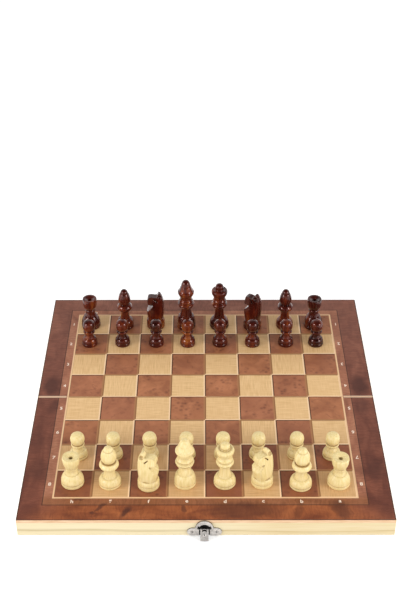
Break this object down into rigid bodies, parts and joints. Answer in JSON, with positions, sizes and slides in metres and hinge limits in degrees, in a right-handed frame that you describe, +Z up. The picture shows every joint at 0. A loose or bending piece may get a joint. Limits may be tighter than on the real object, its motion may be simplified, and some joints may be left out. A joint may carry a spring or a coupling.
{
  "type": "folding board game compendium case",
  "caption": "Folding wooden board case, open flat with its chessboard up, turned chessmen set up on it, and draughts and dice in the hollow underneath; two hinges and a swing latch.",
  "frame": {"origin": "on the table, under the middle of the fold line between the two halves", "axes": "+X along the fold to the viewer's right, +Y away from the viewer towards the dark men, +Z up"},
  "size_m": [0.289, 0.2981, 0.068],
  "materials": {
    "veneer_print": "satin varnish over a printed burl and inlay pattern",
    "pine": "planed, thin clear varnish",
    "lining_print": "matt print of a backgammon board",
    "hinge_brass": "stamped sheet, thin lacquer",
    "pin_steel": "drawn wire",
    "nickel": "nickel-plated stamped sheet",
    "boxwood": "turned, satin varnish",
    "dark_wood": "turned, stained, gloss varnish",
    "dice_plastic": "polished"
  },
  "bodies": {
    "front_half": {"front_panel": "veneer_print", "front_outer_wall": "pine", "front_fold_wall": "pine", "front_left_wall": "pine", "front_right_wall": "pine", "front_lining": "lining_print", "front_hinge_leaf_left": "hinge_brass", "front_hinge_leaf_right": "hinge_brass", "front_hinge_screws": "hinge_brass", "hinge_pins": "pin_steel", "latch_plate": "nickel", "latch_pin": "nickel", "latch_screws": "nickel"},
    "rear_half": {"rear_panel": "veneer_print", "rear_outer_wall": "pine", "rear_fold_wall": "pine", "rear_left_wall": "pine", "rear_right_wall": "pine", "rear_lining": "lining_print", "rear_hinge_leaf_left": "hinge_brass", "rear_hinge_leaf_right": "hinge_brass", "rear_hinge_screws": "hinge_brass", "catch_plate": "nickel", "catch_screws": "nickel"},
    "latch_tongue": {"latch_tongue": "nickel"},
    "light_draughts": {"light_draughts": "boxwood"},
    "dark_draughts": {"dark_draughts": "dark_wood"},
    "dice": {"dice": "dice_plastic"},
    "light_rook_left": {"light_rook_left": "boxwood"},
    "light_bishop_left": {"light_bishop_left": "boxwood"},
    "light_knight_left": {"light_knight_left": "boxwood"},
    "light_king": {"light_king": "boxwood"},
    "light_queen": {"light_queen": "boxwood"},
    "light_knight_right": {"light_knight_right": "boxwood"},
    "light_bishop_right": {"light_bishop_right": "boxwood"},
    "light_rook_right": {"light_rook_right": "boxwood"},
    "dark_rook_left": {"dark_rook_left": "dark_wood"},
    "dark_bishop_left": {"dark_bishop_left": "dark_wood"},
    "dark_knight_left": {"dark_knight_left": "dark_wood"},
    "dark_king": {"dark_king": "dark_wood"},
    "dark_queen": {"dark_queen": "dark_wood"},
    "dark_knight_right": {"dark_knight_right": "dark_wood"},
    "dark_bishop_right": {"dark_bishop_right": "dark_wood"},
    "dark_rook_right": {"dark_rook_right": "dark_wood"},
    "light_pawn_1": {"light_pawn_1": "boxwood"},
    "light_pawn_2": {"light_pawn_2": "boxwood"},
    "light_pawn_3": {"light_pawn_3": "boxwood"},
    "light_pawn_4": {"light_pawn_4": "boxwood"},
    "light_pawn_5": {"light_pawn_5": "boxwood"},
    "light_pawn_6": {"light_pawn_6": "boxwood"},
    "light_pawn_7": {"light_pawn_7": "boxwood"},
    "light_pawn_8": {"light_pawn_8": "boxwood"},
    "dark_pawn_1": {"dark_pawn_1": "dark_wood"},
    "dark_pawn_2": {"dark_pawn_2": "dark_wood"},
    "dark_pawn_3": {"dark_pawn_3": "dark_wood"},
    "dark_pawn_4": {"dark_pawn_4": "dark_wood"},
    "dark_pawn_5": {"dark_pawn_5": "dark_wood"},
    "dark_pawn_6": {"dark_pawn_6": "dark_wood"},
    "dark_pawn_7": {"dark_pawn_7": "dark_wood"},
    "dark_pawn_8": {"dark_pawn_8": "dark_wood"}
  },
  "joints": [
    {"name": "board_fold", "type": "hinge", "parent": "front_half", "child": "rear_half", "pos_m": [0, 0, 0.001], "axis": [-1, 0, 0], "range_deg": [0, 180]},
    {"name": "latch_swing", "type": "hinge", "parent": "front_half", "child": "latch_tongue", "pos_m": [-0.0012, -0.1472, 0.00935], "axis": [-1, 0, 0], "range_deg": [-25, 110]},
    {"name": "light_draughts_drop", "type": "slide", "parent": "front_half", "child": "light_draughts", "axis": [0, 0, -1], "range_m": [-0.0074, 0.0108]},
    {"name": "dark_draughts_drop", "type": "slide", "parent": "front_half", "child": "dark_draughts", "axis": [0, 0, -1], "range_m": [-0.0074, 0.0108]},
    {"name": "dice_drop", "type": "slide", "parent": "front_half", "child": "dice", "axis": [0, 0, -1], "range_m": [-0.0039, 0.0108]},
    {"name": "light_rook_left_lift", "type": "slide", "parent": "front_half", "child": "light_rook_left", "axis": [0, 0, 1], "range_m": [0, 0.06]},
    {"name": "light_bishop_left_lift", "type": "slide", "parent": "front_half", "child": "light_bishop_left", "axis": [0, 0, 1], "range_m": [0, 0.06]},
    {"name": "light_knight_left_lift", "type": "slide", "parent": "front_half", "child": "light_knight_left", "axis": [0, 0, 1], "range_m": [0, 0.06]},
    {"name": "light_king_lift", "type": "slide", "parent": "front_half", "child": "light_king", "axis": [0, 0, 1], "range_m": [0, 0.06]},
    {"name": "light_queen_lift", "type": "slide", "parent": "front_half", "child": "light_queen", "axis": [0, 0, 1], "range_m": [0, 0.06]},
    {"name": "light_knight_right_lift", "type": "slide", "parent": "front_half", "child": "light_knight_right", "axis": [0, 0, 1], "range_m": [0, 0.06]},
    {"name": "light_bishop_right_lift", "type": "slide", "parent": "front_half", "child": "light_bishop_right", "axis": [0, 0, 1], "range_m": [0, 0.06]},
    {"name": "light_rook_right_lift", "type": "slide", "parent": "front_half", "child": "light_rook_right", "axis": [0, 0, 1], "range_m": [0, 0.06]},
    {"name": "dark_rook_left_lift", "type": "slide", "parent": "rear_half", "child": "dark_rook_left", "axis": [0, 0, 1], "range_m": [0, 0.06]},
    {"name": "dark_bishop_left_lift", "type": "slide", "parent": "rear_half", "child": "dark_bishop_left", "axis": [0, 0, 1], "range_m": [0, 0.06]},
    {"name": "dark_knight_left_lift", "type": "slide", "parent": "rear_half", "child": "dark_knight_left", "axis": [0, 0, 1], "range_m": [0, 0.06]},
    {"name": "dark_king_lift", "type": "slide", "parent": "rear_half", "child": "dark_king", "axis": [0, 0, 1], "range_m": [0, 0.06]},
    {"name": "dark_queen_lift", "type": "slide", "parent": "rear_half", "child": "dark_queen", "axis": [0, 0, 1], "range_m": [0, 0.06]},
    {"name": "dark_knight_right_lift", "type": "slide", "parent": "rear_half", "child": "dark_knight_right", "axis": [0, 0, 1], "range_m": [0, 0.06]},
    {"name": "dark_bishop_right_lift", "type": "slide", "parent": "rear_half", "child": "dark_bishop_right", "axis": [0, 0, 1], "range_m": [0, 0.06]},
    {"name": "dark_rook_right_lift", "type": "slide", "parent": "rear_half", "child": "dark_rook_right", "axis": [0, 0, 1], "range_m": [0, 0.06]},
    {"name": "light_pawn_1_lift", "type": "slide", "parent": "front_half", "child": "light_pawn_1", "axis": [0, 0, 1], "range_m": [0, 0.06]},
    {"name": "light_pawn_2_lift", "type": "slide", "parent": "front_half", "child": "light_pawn_2", "axis": [0, 0, 1], "range_m": [0, 0.06]},
    {"name": "light_pawn_3_lift", "type": "slide", "parent": "front_half", "child": "light_pawn_3", "axis": [0, 0, 1], "range_m": [0, 0.06]},
    {"name": "light_pawn_4_lift", "type": "slide", "parent": "front_half", "child": "light_pawn_4", "axis": [0, 0, 1], "range_m": [0, 0.06]},
    {"name": "light_pawn_5_lift", "type": "slide", "parent": "front_half", "child": "light_pawn_5", "axis": [0, 0, 1], "range_m": [0, 0.06]},
    {"name": "light_pawn_6_lift", "type": "slide", "parent": "front_half", "child": "light_pawn_6", "axis": [0, 0, 1], "range_m": [0, 0.06]},
    {"name": "light_pawn_7_lift", "type": "slide", "parent": "front_half", "child": "light_pawn_7", "axis": [0, 0, 1], "range_m": [0, 0.06]},
    {"name": "light_pawn_8_lift", "type": "slide", "parent": "front_half", "child": "light_pawn_8", "axis": [0, 0, 1], "range_m": [0, 0.06]},
    {"name": "dark_pawn_1_lift", "type": "slide", "parent": "rear_half", "child": "dark_pawn_1", "axis": [0, 0, 1], "range_m": [0, 0.06]},
    {"name": "dark_pawn_2_lift", "type": "slide", "parent": "rear_half", "child": "dark_pawn_2", "axis": [0, 0, 1], "range_m": [0, 0.06]},
    {"name": "dark_pawn_3_lift", "type": "slide", "parent": "rear_half", "child": "dark_pawn_3", "axis": [0, 0, 1], "range_m": [0, 0.06]},
    {"name": "dark_pawn_4_lift", "type": "slide", "parent": "rear_half", "child": "dark_pawn_4", "axis": [0, 0, 1], "range_m": [0, 0.06]},
    {"name": "dark_pawn_5_lift", "type": "slide", "parent": "rear_half", "child": "dark_pawn_5", "axis": [0, 0, 1], "range_m": [0, 0.06]},
    {"name": "dark_pawn_6_lift", "type": "slide", "parent": "rear_half", "child": "dark_pawn_6", "axis": [0, 0, 1], "range_m": [0, 0.06]},
    {"name": "dark_pawn_7_lift", "type": "slide", "parent": "rear_half", "child": "dark_pawn_7", "axis": [0, 0, 1], "range_m": [0, 0.06]},
    {"name": "dark_pawn_8_lift", "type": "slide", "parent": "rear_half", "child": "dark_pawn_8", "axis": [0, 0, 1], "range_m": [0, 0.06]}
  ]
}
